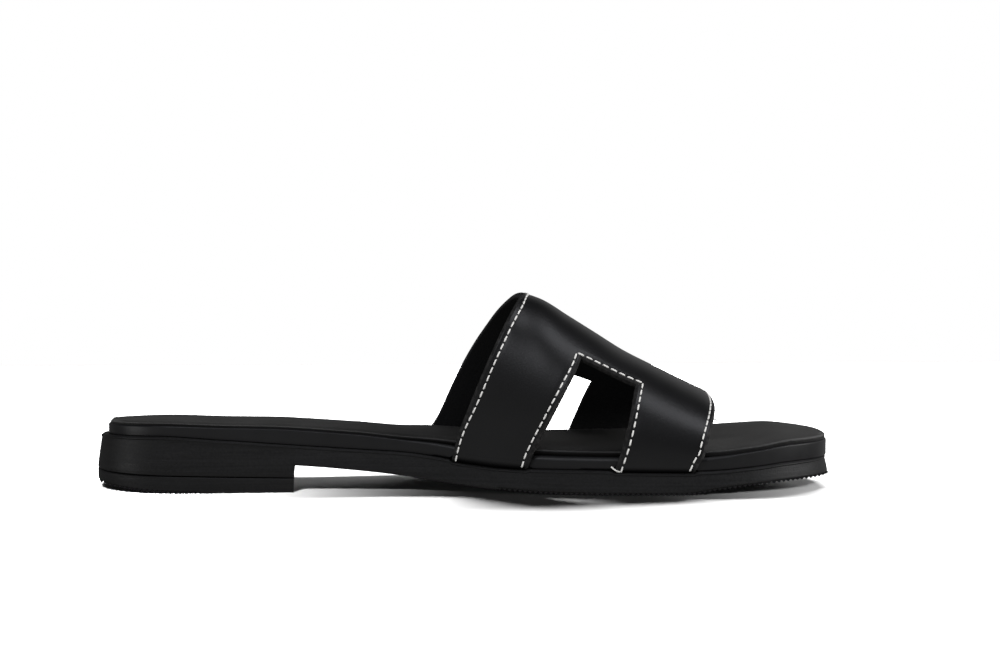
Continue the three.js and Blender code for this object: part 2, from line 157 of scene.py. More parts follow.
def edge_at(side, x, inset):
    heel_in, side_in, toe_in = inset
    share = (x - HEEL_BACK - heel_in) / (SOLE_LENGTH - heel_in - toe_in)
    return outline(side, share, inset)[1]


def sole_share(x):
    return np.clip((x - HEEL_BACK) / SOLE_LENGTH, 0, 1)


def edge_plane(x, y):
    """Height of the joint between the sole and the platform."""
    s = sole_share(x)
    lean = -tilt(s) * FOOTBED_TWIST * y / (BALL_WIDTH / 2)
    return FOREFOOT_EDGE + HEEL_RISE * rise(s) + TOE_SPRING * spring(s) + lean


def underside(x):
    return HEEL_RISE * under(sole_share(x)) + TOE_SPRING * toe(sole_share(x))


def lift_top(x):
    return LIFT_BACK + (LIFT_BREAST - LIFT_BACK) * np.clip((x - HEEL_BACK) / HEEL_LENGTH, 0, 1)


def stations(count, *extra):
    """Shares of the length, closer together towards both ends."""
    even = (1 - np.cos(np.pi * np.linspace(0, 1, count))) / 2
    even = even[[all(abs(share - value) > 0.6 / count for value in extra) for share in even]]
    return np.sort(np.concatenate([even, extra]))


def smooth_step(x, low, high):
    u = np.clip((x - low) / (high - low), 0, 1)
    return u * u * (3 - 2 * u)


def add_object(name, data):
    piece = bpy.data.objects.new(name, data)
    bpy.context.scene.collection.objects.link(piece)
    return piece


def make_mesh(name, points, faces, material=None, sharp=35):
    """A mesh object at the origin, welded, smooth, with its true edges kept sharp."""
    mesh = bpy.data.meshes.new(name)
    mesh.from_pydata(np.asarray(points, float).reshape(-1, 3).tolist(), [], faces)
    weld(mesh)
    mesh.shade_smooth()
    mesh.set_sharp_from_angle(angle=math.radians(sharp))
    if material:
        mesh.materials.append(material)
    return add_object(name, mesh)


def weld(mesh):
    bm = bmesh.new()
    bm.from_mesh(mesh)
    bmesh.ops.remove_doubles(bm, verts=bm.verts, dist=WELD_DISTANCE)
    bmesh.ops.dissolve_degenerate(bm, edges=bm.edges, dist=WELD_DISTANCE / 4)
    bmesh.ops.recalc_face_normals(bm, faces=bm.faces)
    bm.to_mesh(mesh)
    bm.free()


def ring_faces(rings, size, cap_start=False, cap_end=False):
    faces = []
    for i in range(rings - 1):
        for j in range(size):
            a, b = i * size + j, i * size + (j + 1) % size
            faces.append((a, b, b + size, a + size))
    if cap_start:
        faces.append(tuple(range(size - 1, -1, -1)))
    if cap_end:
        faces.append(tuple(range((rings - 1) * size, rings * size)))
    return faces


def sole_rings(shares, levels, top_height, bottom_height, across):
    """One ring for each station: up the inner side, over the top, down the outer side and back
    underneath. A level is an outline, an inset and a height."""
    sides = {}
    for side in (INNER, OUTER):
        line = []
        for inset, by, height in levels:
            x, y = outline(side, shares, inset, by)
            line.append(np.stack([x, y, height(x, y, side)], -1))
        sides[side] = np.stack(line, 1)
    top, bottom = [], []
    for i in range(1, across):
        u = i / across
        upper = sides[INNER][:, -1] * (1 - u) + sides[OUTER][:, -1] * u
        lower = sides[OUTER][:, 0] * (1 - u) + sides[INNER][:, 0] * u
        upper[:, 2] = top_height(upper[:, 0], upper[:, 1])
        lower[:, 2] = bottom_height(lower[:, 0], lower[:, 1])
        top.append(upper)
        bottom.append(lower)
    parts = [sides[INNER], np.stack(top, 1), sides[OUTER][:, ::-1], np.stack(bottom, 1)]
    return np.concatenate(parts, 1)


class Value:
    """A shader socket with arithmetic, and a way to add any other node behind it."""

    def __init__(self, tree, socket):
        self.tree, self.socket = tree, socket

    def node(self, kind, settings=None, inputs=None, output=0):
        made = self.tree.nodes.new(kind)
        for name, value in (settings or {}).items():
            setattr(made, name, value)
        for name, value in (inputs or {}).items():
            if isinstance(value, Value):
                self.tree.links.new(value.socket, made.inputs[name])
            else:
                made.inputs[name].default_value = value
        return Value(self.tree, made.outputs[output])

    def math(self, operation, other=0.0, first=None):
        left, right = (first, self) if first is not None else (self, other)
        return self.node("ShaderNodeMath", {"operation": operation}, {0: left, 1: right})

    def __add__(self, other):
        return self.math("ADD", other)

    def __mul__(self, other):
        return self.math("MULTIPLY", other)

    def __sub__(self, other):
        return self.math("SUBTRACT", other)

    def __rsub__(self, other):
        return self.math("SUBTRACT", first=other)

    __radd__, __rmul__ = __add__, __mul__

    def between(self, low, high):
        """0 below low, 1 above high."""
        inputs = {"Value": self, "From Min": low, "From Max": high}
        return self.node("ShaderNodeMapRange", {"interpolation_type": "SMOOTHSTEP"}, inputs)

    def mix(self, low, high):
        """A colour between two colours, by this value."""
        return self.node("ShaderNodeMix", {"data_type": "RGBA"}, {"Factor": self, 6: low, 7: high}, output=2)


def shader(name, **constants):
    """A Principled material: its constants are set, and its tree's object coordinates are returned."""
    material = bpy.data.materials.new(name)
    material.use_nodes = True
    tree = material.node_tree
    surface = tree.nodes["Principled BSDF"]
    for socket, value in constants.items():
        surface.inputs[socket.replace("_", " ")].default_value = value
    coordinates = tree.nodes.new("ShaderNodeTexCoord")
    return material, surface, Value(tree, coordinates.outputs["Object"])


def noise(place, scale, detail=2.0, roughness=0.5):
    inputs = {"Vector": place, "Scale": scale, "Detail": detail, "Roughness": roughness}
    return place.node("ShaderNodeTexNoise", {"normalize": True}, inputs)


def cells(place, scale):
    return place.node("ShaderNodeTexVoronoi", {"feature": "F1"}, {"Vector": place, "Scale": scale})


def stretch(place, *scale):
    return place.node("ShaderNodeMapping", None, {"Vector": place, "Scale": scale})


def feed(surface, **sockets):
    for name, value in sockets.items():
        surface.id_data.links.new(value.socket, surface.inputs[name.replace("_", " ")])


def bump(height, distance, strength=1.0):
    inputs = {"Height": height, "Distance": distance, "Strength": strength}
    return height.node("ShaderNodeBump", None, inputs)


def make_rubber():
    material, surface, place = shader("moulded_rubber", Specular_IOR_Level=0.42)
    mottle = noise(place, 1300, 3, 0.65)
    pits = cells(place, 1500)
    lines = noise(stretch(place, 25, 25, 1400), 1, 3, 0.6)
    height = mottle * 0.8 + pits * 0.4 + lines * 1.1
    wear = (mottle * 0.4 + lines * 0.42 + noise(place, 45, 4, 0.6) * 0.18).between(0.38, 0.64)
    colour = wear.mix((0.0055, 0.0055, 0.0058, 1), (0.0175, 0.0174, 0.018, 1))
    feed(surface, Base_Color=colour, Roughness=0.48 + 0.16 * wear, Normal=bump(height, 0.1 * MM, 0.9))
    return material


# Where the strap's edges lie along the sole, from the foot of a leg (turn 0) to the crest (turn 1). The
# pockets in the sole, in which the legs are glued, follow the first row.
CUT_NAMES = "turn back window_back window_front front"
cuts = {
    INNER: columns(
        CUT_NAMES,
        (0.0, 0.4843, 0.5857, 0.7008, 0.809),
        (0.05, 0.491, 0.5955, 0.7058, 0.8165),
        (0.15, 0.5065, 0.613, 0.7126, 0.8205),
        (0.3, 0.5262, 0.633, 0.7192, 0.826),
        (0.5, 0.5475, 0.6518, 0.7262, 0.832),
        (0.75, 0.567, 0.6615, 0.735, 0.836),
        (1.0, 0.58, 0.6615, 0.745, 0.8365),
    ),
    OUTER: columns(
        CUT_NAMES,
        (0.0, 0.454, 0.545, 0.652, 0.756),
        (0.05, 0.471, 0.561, 0.66, 0.765),
        (0.15, 0.49, 0.583, 0.6715, 0.776),
        (0.35, 0.522, 0.613, 0.6895, 0.792),
        (0.5, 0.542, 0.63, 0.703, 0.806),
        (0.75, 0.566, 0.651, 0.73, 0.828),
        (1.0, 0.58, 0.6615, 0.745, 0.8365),
    ),
}
LEG_LEAN, POCKET_SOFTNESS = 1.0 * MM, 0.5 * MM


def at_legs(x, side):
    """1 where a leg of the strap goes in between platform and sole, else 0."""
    mask = np.zeros_like(x)
    for start, end in (("back", "window_back"), ("window_front", "front")):
        low, high = (HEEL_BACK + cuts[side][cut][0] * SOLE_LENGTH - LEG_LEAN for cut in (start, end))
        after = smooth_step(x, low - POCKET_SOFTNESS, low)
        mask = np.maximum(mask, after * (1 - smooth_step(x, high, high + POCKET_SOFTNESS)))
    return mask


def quarter_turn(count):
    """Sine and cosine at evenly spaced angles from 0 to 90 degrees."""
    return [(math.sin(a), math.cos(a)) for a in np.linspace(0, math.pi / 2, count)]


rubber = make_rubber()
POCKET_DEPTH = 0.5 * MM
LIP_BEAD = 0.25 * MM
LIP_HEIGHT = 1.1 * MM
TREAD_STEP = 0.002
BREAST = HEEL_LENGTH / SOLE_LENGTH


def make_sole():
    breast_front = (HEEL_LENGTH + BREAST_DRAFT) / SOLE_LENGTH
    tread_edge = TREAD_START + TREAD_STEP
    shares = stations(STATIONS, BREAST, breast_front, TREAD_START, tread_edge)
    is_heel = shares <= BREAST + 1e-9
    is_tread = smooth_step(shares, TREAD_START, tread_edge)

    def bottom(x, y):
        heel, waist = lift_top(x) + FIT_GAP, underside(x) + TREAD_DEPTH * is_tread
        return np.where(is_heel, heel, waist)

    def low(x, y, side):
        return bottom(x, y) + TREAD_EDGE

    def top(x, y, side=None):
        depth = POCKET_DEPTH * at_legs(x, side) if side else 0
        return edge_plane(x, y) - depth

    def part_way(share):
        return lambda x, y, side: low(x, y, side) * (1 - share) + (top(x, y, side) - LIP_HEIGHT) * share

    levels = []
    for sine, cosine in quarter_turn(4)[:-1]:
        down = TREAD_EDGE * cosine
        levels.append((SOLE, TREAD_EDGE * (1 - sine), lambda x, y, side, down=down: low(x, y, side) - down))
    for share in np.linspace(0, 1, 9):
        inset = tuple(value * share**1.2 for value in LIP)
        levels.append((inset, 0, part_way(share)))
    for turn, (sine, cosine) in zip(np.linspace(0, 1, 6), quarter_turn(6)):
        bead = LIP_BEAD * math.sin(min(1, turn * 1.6) * math.pi)
        by = RUBBER_EDGE * (1 - cosine) - bead
        levels.append((LIP, by, lambda x, y, side, s=sine: top(x, y, side) - LIP_HEIGHT * (1 - s)))
    rings = sole_rings(shares, levels, top, bottom, 16)
    piece = make_mesh("sole_unit", rings, ring_faces(len(shares), rings.shape[1]), rubber)
    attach(piece, "root")
    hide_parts("outsole")
    return piece


sole_unit = make_sole()

# The top lift: a plate of harder rubber cemented under the heel, so that it can be replaced when it is
# worn. Its back is rolled off the floor, and its back third carries the same cross ribs as the forefoot.
HEEL_BEVEL, HEEL_BEVEL_LENGTH = 2.3 * MM, 34 * MM
LIFT_RIB_END, LIFT_RIB_RUNOUT = 36 * MM, 0.6 * MM
LIFT_CHAMFER, LIFT_CHAMFER_HEIGHT = 0.3 * MM, 0.35 * MM


def lift_floor(x):
    return HEEL_BEVEL * np.clip(1 - (x - HEEL_BACK) / HEEL_BEVEL_LENGTH, 0, 1) ** 2


def make_lift():
    shares = stations(STATIONS, BREAST)
    shares = shares[shares <= BREAST + 1e-9]
    ribbed = 1 - smooth_step(shares * SOLE_LENGTH, LIFT_RIB_END - LIFT_RIB_RUNOUT, LIFT_RIB_END)

    def bottom(x, y):
        return lift_floor(x) + TREAD_DEPTH * ribbed

    levels = []
    for sine, cosine in quarter_turn(4):
        up = TREAD_EDGE * (1 - cosine)
        levels.append((SOLE, TREAD_EDGE * (1 - sine), lambda x, y, side, up=up: bottom(x, y) + up))
    for share in (0, 4 / 7, 1):
        down = LIFT_CHAMFER_HEIGHT * (1 - share)
        levels.append((SOLE, LIFT_CHAMFER * share, lambda x, y, side, down=down: lift_top(x) - down))
    rings = sole_rings(shares, levels, lambda x, y: lift_top(x), bottom, 12)
    faces = ring_faces(len(shares), rings.shape[1], cap_end=True)
    piece = make_mesh("top_lift_plate", rings, faces, rubber)
    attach(piece, "root")
    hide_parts("top_lift")
    return piece


top_lift_plate = make_lift()

# The tread: saw-tooth ribs moulded across the forefoot and the back of the heel. Each rib spans the
# sole at its place and is laid by one tree of nodes on a line of guide points.
RIB_PITCH, RIB_OVERLAP = 1.75 * MM, 1.06
RIB_INSET, SHORTEST_RIB = 0.15 * MM, 6 * MM


def new_tree(name, **sizes):
    """A geometry tree with an input for the guide and one for each named size."""
    tree = bpy.data.node_groups.new(name, "GeometryNodeTree")
    tree.interface.new_socket("Geometry", in_out="INPUT", socket_type="NodeSocketGeometry")
    for size, value in sizes.items():
        kind = "NodeSocketMaterial" if isinstance(value, bpy.types.Material) else "NodeSocketFloat"
        tree.interface.new_socket(size, in_out="INPUT", socket_type=kind)
    tree.interface.new_socket("Geometry", in_out="OUTPUT", socket_type="NodeSocketGeometry")
    return tree


def add_node(tree, kind, settings=None, inputs=None):
    made = tree.nodes.new(kind)
    for name, value in (settings or {}).items():
        setattr(made, name, value)
    for name, value in (inputs or {}).items():
        if isinstance(value, bpy.types.NodeSocket):
            tree.links.new(value, made.inputs[name])
        else:
            made.inputs[name].default_value = value
    return made


def end_tree(tree, instances, material, smooth=False):
    """The instances made real, smoothed if wanted and given their material, as the tree's result."""
    real = add_node(tree, "GeometryNodeRealizeInstances", None, {"Geometry": instances})
    if smooth:
        real = add_node(tree, "GeometryNodeSetShadeSmooth", None, {"Geometry": real.outputs["Geometry"]})
    dressed = add_node(tree, "GeometryNodeSetMaterial", None, {
        "Geometry": real.outputs["Geometry"], "Material": material,
    })
    add_node(tree, "NodeGroupOutput", None, {"Geometry": dressed.outputs["Geometry"]})
    return tree


def attribute(tree, name, kind="FLOAT"):
    made = add_node(tree, "GeometryNodeInputNamedAttribute", {"data_type": kind}, {"Name": name})
    return made.outputs["Attribute"]


def grow(name, guide, tree, **sizes):
    """Runs a tree on a guide, and turns the result into a plain mesh."""
    modifier = guide.modifiers.new("grow", "NODES")
    modifier.node_group = tree
    for item in tree.interface.items_tree:
        if item.in_out == "INPUT" and item.name in sizes:
            modifier[item.identifier] = sizes[item.name]
    bpy.context.view_layer.update()
    evaluated = guide.evaluated_get(bpy.context.evaluated_depsgraph_get())
    piece = add_object(name, bpy.data.meshes.new_from_object(evaluated))
    bpy.data.objects.remove(guide)
    return piece


def guide_object(name, points, edges=(), **attributes):
    mesh = bpy.data.meshes.new(name)
    mesh.from_pydata([tuple(p) for p in points], list(edges), [])
    for key, values in attributes.items():
        values = np.asarray(values, np.float32)
        kind = "FLOAT_VECTOR" if values.ndim == 2 else "FLOAT"
        made = mesh.attributes.new(key, kind, "POINT")
        made.data.foreach_set("vector" if values.ndim == 2 else "value", values.ravel())
    return add_object(name, mesh)


def rib_tree():
    tree = new_tree("cross_ribs", Pitch=RIB_PITCH, Depth=TREAD_DEPTH, Rubber=rubber)
    given = tree.nodes.new("NodeGroupInput").outputs
    bar = add_node(tree, "GeometryNodeMeshCylinder", {"fill_type": "NGON"}, {
        "Vertices": 3, "Side Segments": 1, "Radius": 1.0, "Depth": 1.0,
    })
    quarter = math.pi / 2
    laid = add_node(tree, "GeometryNodeTransform", None, {
        "Geometry": bar.outputs["Mesh"], "Rotation": (quarter, quarter, 0),
    })
    # a three-sided bar of radius 1 is 1.5 deep and the square root of 3 wide
    times = {"operation": "MULTIPLY"}
    width = add_node(tree, "ShaderNodeMath", times, {0: given["Pitch"], 1: RIB_OVERLAP / math.sqrt(3)})
    depth = add_node(tree, "ShaderNodeMath", times, {0: given["Depth"], 1: 1 / 1.5})
    size = add_node(tree, "ShaderNodeCombineXYZ", None, {
        "X": width.outputs[0], "Y": attribute(tree, "reach"), "Z": depth.outputs[0],
    })
    turn = add_node(tree, "ShaderNodeCombineXYZ", None, {"Y": attribute(tree, "slope")})
    placed = add_node(tree, "GeometryNodeInstanceOnPoints", None, {
        "Points": given["Geometry"], "Instance": laid.outputs["Geometry"],
        "Rotation": turn.outputs[0], "Scale": size.outputs[0],
    })
    return end_tree(tree, placed.outputs["Instances"], given["Rubber"])


ribs = rib_tree()


def lay_ribs(name, first, last, floor):
    count = int((last - first) / RIB_PITCH)
    x = first + RIB_PITCH * (np.arange(count) + 0.5)
    inner, outer = edge_at(INNER, x, SOLE) + RIB_INSET, edge_at(OUTER, x, SOLE) - RIB_INSET
    ahead, behind = floor(x + MM), floor(x - MM)
    # the bar's middle sits a third of its depth below its flat top, and its tooth points down
    points = np.stack([x, (inner + outer) / 2, floor(x) + TREAD_DEPTH * 2 / 3], -1)
    keep = outer - inner > SHORTEST_RIB
    guide = guide_object(name + "_guide", points[keep], reach=(outer - inner)[keep],
                         slope=-np.arctan2(ahead - behind, 2 * MM)[keep])
    piece = grow(name, guide, ribs, Pitch=RIB_PITCH, Depth=TREAD_DEPTH, Rubber=rubber)
    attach(piece, "root")
    return piece


tread_first = HEEL_BACK + TREAD_START * SOLE_LENGTH
forefoot_ribs = lay_ribs("forefoot_ribs", tread_first, sole_high.x - 0.5 * MM, underside)
heel_ribs = lay_ribs("heel_ribs", HEEL_BACK + 0.8 * MM, HEEL_BACK + LIFT_RIB_END, lift_floor)

# The platform: a sheet of firm foam wrapped in smooth black leather that is rolled round its edge and
# turned under. It is cemented on the sole, and the strap's legs go in beneath it.
PLATFORM = (3.8 * MM, 2.8 * MM, 0.5 * MM)
GLUE_LINE = 0.06 * MM
ROLL_RADIUS, BACK_ROLL, TUCK_RADIUS = 2.1 * MM, 0.7 * MM, 0.3 * MM
FOOTBED_HEIGHT = 6.6 * MM
INSOLE_THICKNESS = 1.9 * MM
MARGIN_HALF, MARGIN_RISE = 0.6 * MM, 0.84 * MM


def make_wrap():
    material, surface, place = shader("wrap_leather", Specular_IOR_Level=0.5)
    grain = cells(stretch(place, 1, 1, 2.5), 1400)
    soft = noise(place, 260, 3)
    wrinkles = noise(stretch(place, 1, 1, 0.3), 420, 2)
    height = grain * 0.3 + soft * 0.7 + wrinkles * 0.35
    tone = noise(place, 60, 3).between(0.3, 0.7)
    colour = tone.mix((0.008, 0.008, 0.0088, 1), (0.0125, 0.0125, 0.0137, 1))
    feed(surface, Base_Color=colour, Roughness=0.4 + 0.1 * soft, Normal=bump(height, 0.07 * MM, 0.8))
    return material


def bed_height(x):
    return FOOTBED_HEIGHT * bed(sole_share(x))


def sheet_height(x):
    return INSOLE_THICKNESS * sheet(sole_share(x))


def make_platform():
    shares = stations(STATIONS)

    def low(x, y, side):
        return edge_plane(x, y) + GLUE_LINE + MARGIN_RISE * at_legs(x, side)

    def high(x, y):
        return edge_plane(x, y) + bed_height(x) - sheet_height(x)

    x = HEEL_BACK + shares * SOLE_LENGTH
    tuck = TUCK_RADIUS + MARGIN_HALF * np.maximum(at_legs(x, INNER), at_legs(x, OUTER))
    levels = []
    for sine, cosine in quarter_turn(9):
        up = tuck * (1 - cosine)
        levels.append((PLATFORM, tuck * (1 - sine), lambda x, y, side, up=up: low(x, y, side) + up))
    at_strap = smooth_step(shares, 0.4, 0.52) * (1 - 1.1 * smooth_step(shares, 0.8, 0.9))
    roll = BACK_ROLL + (ROLL_RADIUS - BACK_ROLL) * at_strap
    for sine, cosine in quarter_turn(11):
        down = roll * (1 - sine)
        levels.append((PLATFORM, roll * (1 - cosine), lambda x, y, side, down=down: high(x, y) - down))
    rings = sole_rings(shares, levels, high, lambda x, y: edge_plane(x, y) + GLUE_LINE, 14)
    piece = make_mesh("wrapped_platform", rings, ring_faces(len(shares), rings.shape[1]), make_wrap())
    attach(piece, "root")
    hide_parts("midsole")
    return piece


wrapped_platform = make_platform()

# The insole: lining leather over a thin foam pad, cemented on the platform a little inside its edge. The
# pad is soft, so its edge is rounded and its top dips slightly under the heel and the ball.
INSOLE = (4.5 * MM, 3.7 * MM, 0.9 * MM)


def make_insole_leather():
    material, surface, place = shader("insole_leather", Specular_IOR_Level=0.16)
    grain = cells(place, 1100)
    fine = noise(place, 2200, 3, 0.6)
    broad = noise(place, 55, 4)
    height = grain * 0.5 + fine * 0.5 + broad * 1.2
    tone = broad.between(0.3, 0.72)
    # Painted highlight: on the edge's rounding this mask paints the colour lighter as a bright highlight
    # line. It also lowers the roughness there, for a glossier edge.
    edge_gloss_and_highlight = place.node("ShaderNodeAttribute", {"attribute_name": "edge_gloss_and_highlight"}, {}, output=2)
    colour = tone.mix((0.0112, 0.0111, 0.011, 1), (0.0152, 0.015, 0.0148, 1))
    colour = edge_gloss_and_highlight.mix(colour, (0.038, 0.038, 0.038, 1))
    roughness = 0.62 + 0.14 * fine - edge_gloss_and_highlight * 0.25
    feed(surface, Base_Color=colour, Roughness=roughness, Normal=bump(height, 0.08 * MM, 0.8))
    return material


def make_insole():
    shares = stations(STATIONS)
    at_toe = smooth_step(shares, 0.72, 0.86)
    edge_round = (0.8 + 0.6 * at_toe) * MM

    def low(x, y, side=None):
        return edge_plane(x, y) + bed_height(x) - sheet_height(x) + GLUE_LINE

    def high(x, y):
        return edge_plane(x, y) + bed_height(x)

    undercut = (1.0 * smooth_step(shares, 0.36, 0.5) - 0.9 * at_toe) * MM

    def part_way(share):
        """Up the sheet's cut edge, which leans in towards its glued face from the waist on."""
        return lambda x, y, side: low(x, y) + (high(x, y) - low(x, y)) * share

    straight = 0.55
    levels = [(INSOLE, undercut, low)]
    for share in (0.2, 0.4, straight):
        levels.append((INSOLE, undercut * (1 - share / straight) ** 1.5, part_way(share)))
    for sine, cosine in quarter_turn(7)[1:]:
        levels.append((INSOLE, edge_round * (1 - cosine), part_way(straight + (1 - straight) * sine)))

    def top(x, y):
        s = sole_share(x)
        middle = (edge_at(INNER, x, INSOLE) + edge_at(OUTER, x, INSOLE)) / 2
        half = np.maximum(edge_at(OUTER, x, INSOLE) - middle, 4 * MM)
        inside = np.clip(1 - ((y - middle) / half) ** 2, 0, 1)
        heel_hollow = 0.45 * np.exp(-(((s - 0.13) / 0.09) ** 2))
        ball_hollow = 0.4 * np.exp(-(((s - 0.72) / 0.08) ** 2))
        crown = 1.1 - 0.5 * smooth_step(s, 0.16, 0.03) - 0.85 * smooth_step(s, 0.4, 0.75)
        return high(x, y) + MM * (crown * np.sqrt(inside) - (heel_hollow + ball_hollow) * inside**1.5)

    rings = sole_rings(shares, levels, top, low, 40)
    piece = make_mesh("padded_insole", rings, ring_faces(len(shares), rings.shape[1]), make_insole_leather())
    # Mask for the painted edge highlight and the gloss: vertices whose normals face partly up, on the
    # rounding of the edge, half as strong at the toe.
    up = np.array([vertex.normal.z for vertex in piece.data.vertices])
    x = np.array([vertex.co.x for vertex in piece.data.vertices])
    edge_gloss_and_highlight = smooth_step(up, 0.2, 0.5) * (1 - smooth_step(up, 0.86, 0.97))
    edge_gloss_and_highlight *= 1 - 0.5 * smooth_step(sole_share(x), 0.72, 0.86)
    piece.data.attributes.new("edge_gloss_and_highlight", "FLOAT", "POINT").data.foreach_set("value", edge_gloss_and_highlight)
    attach(piece, "root")
    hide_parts("insole")
    return piece


padded_insole = make_insole()

# The strap: box calf outside and black lining leather inside, cemented together and cut with raw edges.
# It is pulled over the last, and its four legs are skived thin and turned in under the platform.
STRAP_WALL = 2.4 * MM
LINING_SHARE = 0.44
MARGIN_WIDTH = 12 * MM
INSTEP_HEIGHT = 65 * MM
CREST_OFFSET = -4 * MM
ARCH_POWER = 2.3
LEG_SLANT = 0.42
BAND_LENGTHS = (26 * MM, 29 * MM, 27 * MM)
HALF_GIRTH = 75 * MM
EDGE_BEVEL, EDGE_DROP = 0.95 * MM, 0.6 * MM
LINING_ROUND = 0.4 * MM
EDGE_SAMPLING = 0.1 * MM
SEAM_INSET, BACK_SEAM_INSET, TOP_SEAM_INSET = 2.1 * MM, 2.6 * MM, 1.15 * MM
SEAM_DEPTH = 0.16 * MM
SEAM_WIDTH = 0.55 * MM

ridge = columns(
    "at height",
    (0.44, 1.31),
    (0.5, 1.187),
    (0.545, 1.076),
    (0.578, 1.008),
    (0.605, 0.968),
    (0.64, 0.882),
    (0.675, 0.795),
    (0.718, 0.688),
    (0.754, 0.615),
    (0.793, 0.538),
    (0.825, 0.475),
    (0.85, 0.412),
)
WINDOW_TOP = {INNER: 0.535, OUTER: 0.345}
ridge_height = curve(ridge, "at", "height")
cut_lines = {side: [curve(cuts[side], "turn", name) for name in CUT_NAMES.split()[1:]] for side in cuts}
bend_height = ROLL_RADIUS + FIT_GAP


def arch(side, turn, x):
    """The strap's inner face, from the platform's edge over the last."""
    angle = turn * math.pi / 2
    edge = edge_at(side, x, PLATFORM) + side * FIT_GAP
    foot = edge_plane(x, edge) + bend_height
    crest = INSTEP_HEIGHT * ridge_height(sole_share(x))
    across = np.maximum(np.cos(angle), 0) ** (2 / ARCH_POWER)
    up = np.sin(angle) ** (2 / ARCH_POWER)
    return np.stack([x, CREST_OFFSET + (edge - CREST_OFFSET) * across, foot + (crest - foot) * up], -1)


def fold_face(side, x, across, up):
    x = x - LEG_SLANT * (bend_height - max(0, up))
    edge = edge_at(side, x, PLATFORM)
    slope = (edge_at(side, x + MM, PLATFORM) - edge_at(side, x - MM, PLATFORM)) / (2 * MM)
    square = side * slope * max(0, across - FIT_GAP) * min(1, max(0, up / bend_height))
    y = edge + side * across
    return np.stack([x - square, y, edge_plane(x, y) + up], -1)


def bend_point(radius, widest, angle):
    return widest - radius * (1 - math.sin(angle)), bend_height - radius * math.cos(angle)


def strap_grid():
    """The inner and outer face on one grid of rows over the foot and columns along it. Rows and
    columns crowd towards every cut, so that the edges can be rounded."""
    close = np.array([0, 0.25, 0.5, 0.8, 0.95, 1.3, 1.7]) * MM

    def band(length, count):
        middle = np.linspace(close[-1], length - close[-1], count)
        return np.concatenate([close[:-1], middle, length - close[-2::-1]]) / length

    bands = [band(length, 22) for length in BAND_LENGTHS]
    row_list = []
    for side in (INNER, OUTER):
        rows = []
        start = math.acos((bend_height - MARGIN_HALF) / bend_height)
        inner_reach = MARGIN_WIDTH + bend_point(bend_height, FIT_GAP, start)[0]
        outer_reach = MARGIN_WIDTH + bend_point(bend_height + MARGIN_HALF, FIT_GAP + STRAP_WALL, 0)[0]
        for share in np.linspace(0, 1, 4)[:-1]:
            inner = (inner_reach * share - MARGIN_WIDTH, MARGIN_HALF)
            outer = (outer_reach * share - MARGIN_WIDTH, -MARGIN_HALF)
            rows.append((side, 0, (inner, outer), True))
        for share in np.linspace(0, 1, 8):
            inner = bend_point(bend_height, FIT_GAP, start + (math.pi / 2 - start) * share)
            outer = bend_point(bend_height + MARGIN_HALF, FIT_GAP + STRAP_WALL, math.pi / 2 * share)
            rows.append((side, 0, (inner, outer), True))
        top = WINDOW_TOP[side]
        below = band(top * HALF_GIRTH, 26)[1:] * top
        above = top + band((1 - top) * HALF_GIRTH, 26)[1:] * (1 - top)
        rows += [(side, turn, None, True) for turn in below]
        rows += [(side, turn, None, False) for turn in above[:-4]] + [(side, 1.0, None, False)]
        row_list.append(rows)
    rows = row_list[0] + row_list[1][-2::-1]
    inside, folded = [], []
    for side, turn, fold, _ in rows:
        marks = [HEEL_BACK + SOLE_LENGTH * float(line(turn)) for line in cut_lines[side]]
        spans = [a + (b - a) * shares for a, b, shares in zip(marks, marks[1:], bands)]
        x = np.concatenate([spans[0][:-1], spans[1][:-1], spans[2]])
        inside.append(fold_face(side, x, *fold[0]) if fold else arch(side, turn, x))
        folded.append(fold_face(side, x, *fold[1]) if fold else None)
    inside = np.array(inside)
    normal = np.cross(np.gradient(inside, axis=1), np.gradient(inside, axis=0))
    normal /= np.linalg.norm(normal, axis=-1)[..., None]
    outside = inside + normal * STRAP_WALL
    for i, line in enumerate(folded):
        if line is not None:
            outside[i] = line
    window = (len(bands[0]) - 1, len(bands[0]) + len(bands[1]) - 2)
    is_open = np.array([row[3] for row in rows])
    filled = np.ones((len(rows) - 1, inside.shape[1] - 1), bool)
    filled[:, window[0]:window[1]] = ~(is_open[:-1] & is_open[1:])[:, None]
    return inside, outside, filled, window, rows


def edge_distance(outside, filled):
    """How far each grid point lies from the nearest cut edge, over the outer face."""
    cells_around = np.pad(filled, 1)
    along_rows = np.argwhere(cells_around[:-1, 1:-1] != cells_around[1:, 1:-1])
    along_columns = np.argwhere(cells_around[1:-1, :-1] != cells_around[1:-1, 1:])
    segments = [(outside[i, j], outside[i, j + 1]) for i, j in along_rows]
    segments += [(outside[i, j], outside[i + 1, j]) for i, j in along_columns]
    samples = []
    for a, b in segments:
        steps = max(2, int(np.linalg.norm(b - a) / EDGE_SAMPLING))
        samples.append(a + (b - a) * np.linspace(0, 1, steps)[:, None])
    samples = np.concatenate(samples)
    tree = KDTree(len(samples))
    for i, point in enumerate(samples):
        tree.insert(Vector(point), i)
    tree.balance()
    distance = np.array([tree.find(Vector(p))[2] for p in outside.reshape(-1, 3)])
    return distance.reshape(outside.shape[:2])


